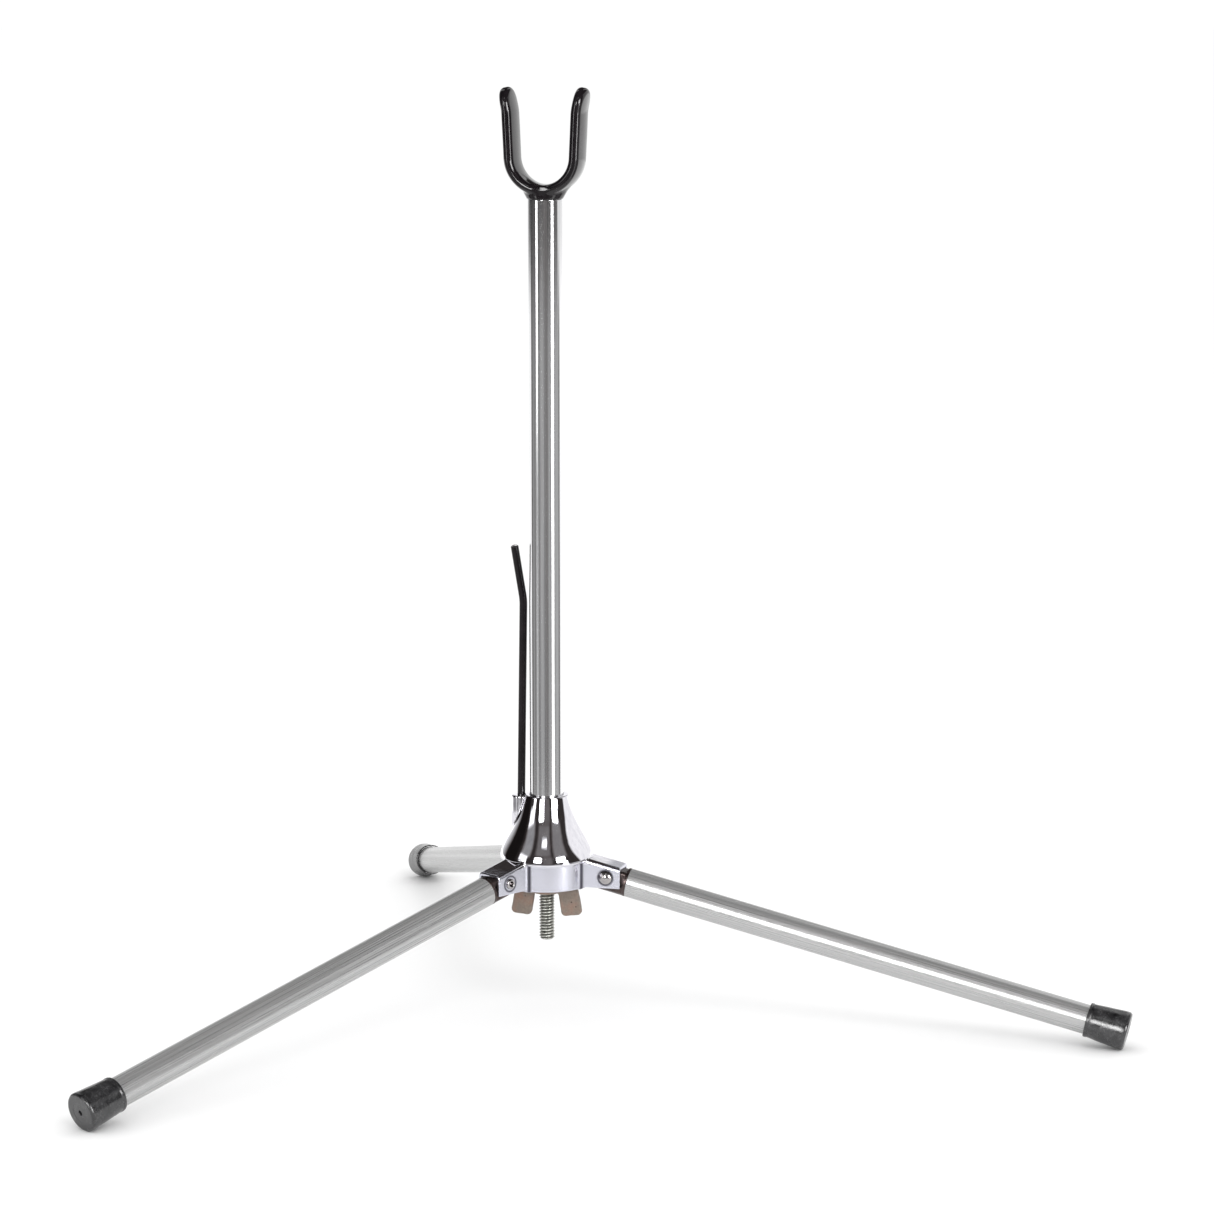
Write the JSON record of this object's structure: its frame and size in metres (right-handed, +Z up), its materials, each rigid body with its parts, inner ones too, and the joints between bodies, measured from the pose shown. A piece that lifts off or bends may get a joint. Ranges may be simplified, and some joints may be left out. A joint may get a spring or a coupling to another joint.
{
  "type": "bow stand",
  "caption": "Folding tripod stand: chrome bell hub with hinged tube legs, a tubular mast with a black dipped fork, a sprung string clip and a wing nut below.",
  "frame": {"origin": "on the floor, on the mast's axis, midway between the three feet", "axes": "+Z up along the mast, +X along leg 1 as it stands open, +Y to its left; the string clip is on the -X side"},
  "size_m": [0.3722, 0.428, 0.382],
  "materials": {
    "hub_chrome": "bright chrome plate over a smooth casting",
    "rivet_nickel": "nickel plate",
    "knuckle_metal": "dark bronze-brown satin finish",
    "leg_aluminium": "drawn tube, satin with fine lengthwise streaks",
    "cap_rubber": "matte moulded rubber",
    "mast_aluminium": "drawn tube, satin with fine lengthwise streaks",
    "plug_metal": "machined",
    "stud_zinc": "zinc-plated screw thread",
    "washer_zinc": "zinc plate",
    "nut_cast": "worn, pitted casting with a brown tarnish",
    "fork_steel": "bare bent bar, covered by the dip",
    "fork_vinyl": "glossy dipped vinyl",
    "clip_vinyl": "glossy black sleeve on a spring wire"
  },
  "bodies": {
    "base": {"hub_casting": "hub_chrome", "clip_rod": "clip_vinyl", "leg_rivet_1": "rivet_nickel", "leg_rivet_2": "rivet_nickel", "leg_rivet_3": "rivet_nickel"},
    "mast": {"mast_tube": "mast_aluminium", "mast_foot_plug": "plug_metal", "threaded_stud": "stud_zinc", "fork_core": "fork_steel", "fork_coating": "fork_vinyl"},
    "washers": {"flat_washer": "washer_zinc", "lock_washer": "washer_zinc"},
    "wing_nut": {"wing_nut": "nut_cast"},
    "leg_1": {"leg_knuckle_1": "knuckle_metal", "leg_tube_1": "leg_aluminium", "foot_cap_1": "cap_rubber"},
    "leg_2": {"leg_knuckle_2": "knuckle_metal", "leg_tube_2": "leg_aluminium", "foot_cap_2": "cap_rubber"},
    "leg_3": {"leg_knuckle_3": "knuckle_metal", "leg_tube_3": "leg_aluminium", "foot_cap_3": "cap_rubber"}
  },
  "joints": [
    {"name": "mast_turn", "type": "hinge", "parent": "base", "child": "mast", "pos_m": [0, 0, 0.2], "axis": [0, 0, 1], "continuous": true},
    {"name": "washer_slide", "type": "slide", "parent": "mast", "child": "washers", "axis": [0, 0, -1], "range_m": [0, 0.02296]},
    {"name": "wing_nut_spin", "type": "hinge", "parent": "washers", "child": "wing_nut", "pos_m": [0, 0, 0.05], "axis": [0, 0, -1], "range_deg": [0, 6480]},
    {"name": "leg_1_fold", "type": "hinge", "parent": "base", "child": "leg_1", "pos_m": [0.0268, 0, 0.05858], "axis": [0, 1, 0], "range_deg": [0, 76.8]},
    {"name": "leg_2_fold", "type": "hinge", "parent": "base", "child": "leg_2", "pos_m": [-0.0134, 0.02321, 0.05858], "axis": [-0.866, -0.5, 0], "range_deg": [0, 76.8]},
    {"name": "leg_3_fold", "type": "hinge", "parent": "base", "child": "leg_3", "pos_m": [-0.0134, -0.02321, 0.05858], "axis": [0.866, -0.5, 0], "range_deg": [0, 76.8]}
  ],
  "couplings": [
    {"joint": "washer_slide", "follows": "wing_nut_spin", "m_per_rad": 0.00020213}
  ]
}
